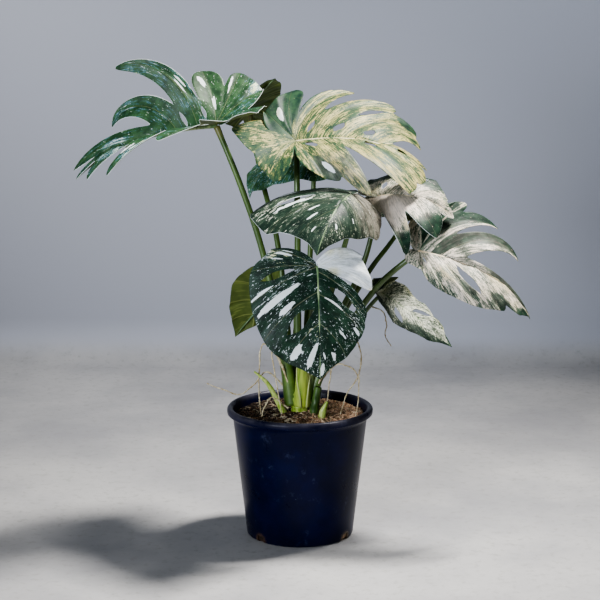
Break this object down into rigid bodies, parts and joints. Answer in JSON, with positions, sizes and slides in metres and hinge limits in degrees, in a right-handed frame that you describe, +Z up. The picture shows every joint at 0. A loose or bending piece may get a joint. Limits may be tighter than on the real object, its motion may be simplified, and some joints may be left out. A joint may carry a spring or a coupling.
{
  "type": "potted monstera plant",
  "caption": "Variegated monstera with split, windowed, cream-marbled leaves on arching stalks, aerial roots and bark soil, in a round tapered plastic nursery pot.",
  "frame": {"origin": "middle of the pot's underside", "axes": "+Z up, -Y towards the plant's front, +X to the right as seen from the front"},
  "size_m": [0.7722, 0.388, 0.8114],
  "materials": {
    "pot": "satin navy plastic",
    "soil": "damp bark and coir",
    "stem": "smooth green stem",
    "stalk": "waxy green",
    "shoot": "waxy light green",
    "root": "dry bark",
    "green_blade": "glossy dark green with cream flecks",
    "cream_blade": "glossy cream with green marbling"
  },
  "bodies": {
    "root": {"pot": "pot", "soil": "soil", "stem": "stem", "stub": "stem", "shoot_left": "shoot", "shoot_right": "shoot", "leaf_a": "green_blade", "leaf_b": "cream_blade", "leaf_c": "green_blade", "leaf_d": "cream_blade", "leaf_e": "green_blade", "leaf_f": "cream_blade", "leaf_g": "cream_blade", "leaf_h": "green_blade", "leaf_i": "green_blade", "leaf_j": "green_blade", "leaf_k": "green_blade", "stalk_a": "stalk", "stalk_b": "stalk", "stalk_c": "stalk", "stalk_d": "stalk", "stalk_e": "stalk", "stalk_f": "stalk", "stalk_g": "stalk", "stalk_h": "stalk", "stalk_i": "stalk", "stalk_j": "stalk", "stalk_k": "stalk", "root_1": "root", "root_2": "root", "root_3": "root", "root_4": "root", "root_5": "root", "root_6": "root", "root_7": "root", "root_8": "root"}
  },
  "joints": []
}
